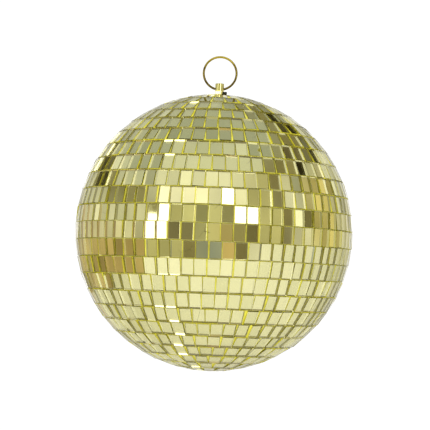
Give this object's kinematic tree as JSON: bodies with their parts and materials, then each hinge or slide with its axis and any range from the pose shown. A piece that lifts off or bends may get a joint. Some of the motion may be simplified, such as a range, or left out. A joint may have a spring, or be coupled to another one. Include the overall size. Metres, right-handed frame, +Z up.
{
  "type": "mirror ball",
  "caption": "Hanging mirror ball: gold mirrored glass tiles in rows on a hollow core, with a turned post and a wire ring to hang it by.",
  "frame": {"origin": "the hang point: the inside of the top of the wire ring, where a hook or motor carries it", "axes": "+Z up along the ball's axis, towards the hook; the ring stands in the XZ plane and -Y is the front"},
  "size_m": [0.2, 0.2, 0.2289],
  "materials": {
    "mirror_tiles": "pale gold mirrored glass",
    "gold_plate": "polished gold plate",
    "zinc_plate": "bright zinc plate",
    "black_screw": "black oxide",
    "core_plastic": "moulded, coated with yellow adhesive"
  },
  "bodies": {
    "ring": {"hanging_ring": "gold_plate"},
    "ball": {"hanger_post": "gold_plate", "post_lock_screw": "black_screw", "top_disc": "gold_plate", "threaded_rod": "zinc_plate", "load_washer": "zinc_plate", "spring_washer": "zinc_plate", "lock_nut": "zinc_plate", "core_upper_shell": "core_plastic", "core_lower_shell": "core_plastic", "bottom_tile_cluster": "mirror_tiles", "tile_strip_01": "mirror_tiles", "tile_strip_02": "mirror_tiles", "tile_strip_03": "mirror_tiles", "tile_strip_04": "mirror_tiles", "tile_strip_05": "mirror_tiles", "tile_strip_06": "mirror_tiles", "tile_strip_07": "mirror_tiles", "tile_strip_08": "mirror_tiles", "tile_strip_09": "mirror_tiles", "tile_strip_10": "mirror_tiles", "tile_strip_11": "mirror_tiles", "tile_strip_12": "mirror_tiles", "tile_strip_13": "mirror_tiles", "tile_strip_14": "mirror_tiles", "tile_strip_15": "mirror_tiles", "tile_strip_16": "mirror_tiles", "tile_strip_17": "mirror_tiles", "tile_strip_18": "mirror_tiles", "tile_strip_19": "mirror_tiles", "tile_strip_20": "mirror_tiles", "tile_strip_21": "mirror_tiles", "tile_strip_22": "mirror_tiles", "tile_strip_23": "mirror_tiles", "tile_strip_24": "mirror_tiles"}
  },
  "joints": [
    {"name": "ball_swing", "type": "hinge", "parent": "ring", "child": "ball", "pos_m": [0, 0, -0.02288], "axis": [1, 0, 0], "range_deg": [-100, 100]}
  ]
}
